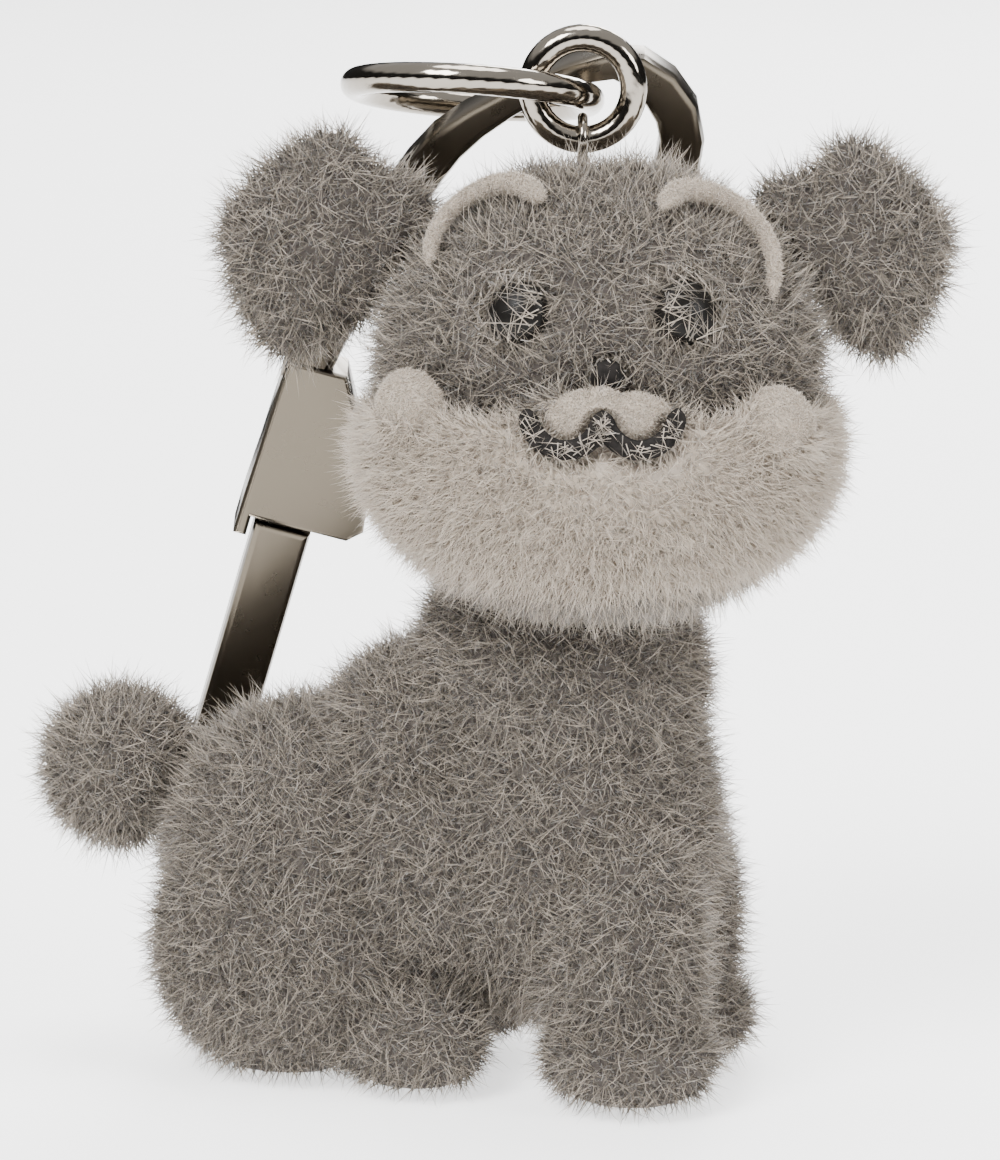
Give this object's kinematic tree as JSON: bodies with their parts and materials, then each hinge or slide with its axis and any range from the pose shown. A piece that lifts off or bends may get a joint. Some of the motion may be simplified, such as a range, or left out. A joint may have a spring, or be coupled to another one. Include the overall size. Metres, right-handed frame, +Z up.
{
  "type": "plush keychain",
  "caption": "Flocked dog figure with a bearded muzzle, hung from a crown screw eye, two linked rings and a spring-gate clasp.",
  "frame": {"origin": "under the middle of the whole keychain's box, on the plane the feet stand on", "axes": "+Z up from the feet to the rings, -Y the way the face looks, +X to the dog's own left"},
  "size_m": [0.0514, 0.0318, 0.0597],
  "materials": {
    "grey_flock": "deep pile",
    "white_flock": "short pile",
    "gloss_black": "gloss",
    "matt_black": "matt",
    "moulded_plastic": "matt",
    "nickel": "polished",
    "cast_nickel": "tumbled",
    "spring_steel": "drawn"
  },
  "bodies": {
    "figure": {"body": "grey_flock", "neck_peg": "moulded_plastic", "head": "grey_flock", "beard": "white_flock", "ear_right": "grey_flock", "ear_left": "grey_flock", "tail": "grey_flock", "eye_right": "gloss_black", "eye_left": "gloss_black", "nose": "matt_black", "mouth": "matt_black", "brow_right": "white_flock", "brow_left": "white_flock", "screw_eye": "nickel"},
    "jump_ring": {"small_ring": "nickel"},
    "key_ring": {"large_ring": "nickel"},
    "clasp": {"clasp_frame": "cast_nickel", "gate_pin": "spring_steel"},
    "gate": {"clasp_gate": "cast_nickel", "gate_spring": "spring_steel"}
  },
  "joints": [
    {"name": "jump_ring_swing", "type": "hinge", "parent": "figure", "child": "jump_ring", "pos_m": [0.00521, 0.00011, 0.05334], "axis": [1, 0, 0], "range_deg": [0, 45]},
    {"name": "key_ring_swing", "type": "hinge", "parent": "jump_ring", "child": "key_ring", "pos_m": [0.00498, 0.00011, 0.05586], "axis": [0.4465, 0.8644, -0.2313], "range_deg": [0, 120]},
    {"name": "clasp_swing", "type": "hinge", "parent": "key_ring", "child": "clasp", "pos_m": [0.00511, 0.00551, 0.05461], "axis": [0.4042, -0.8969, 0.1793], "range_deg": [0, 42]},
    {"name": "gate_hinge", "type": "hinge", "parent": "clasp", "child": "gate", "pos_m": [-0.01596, 0.01421, 0.01569], "axis": [0, 0.9759, 0.2181], "range_deg": [0, 20], "stiffness_Nm_per_rad": 0.002, "springref_deg": -17.19}
  ]
}
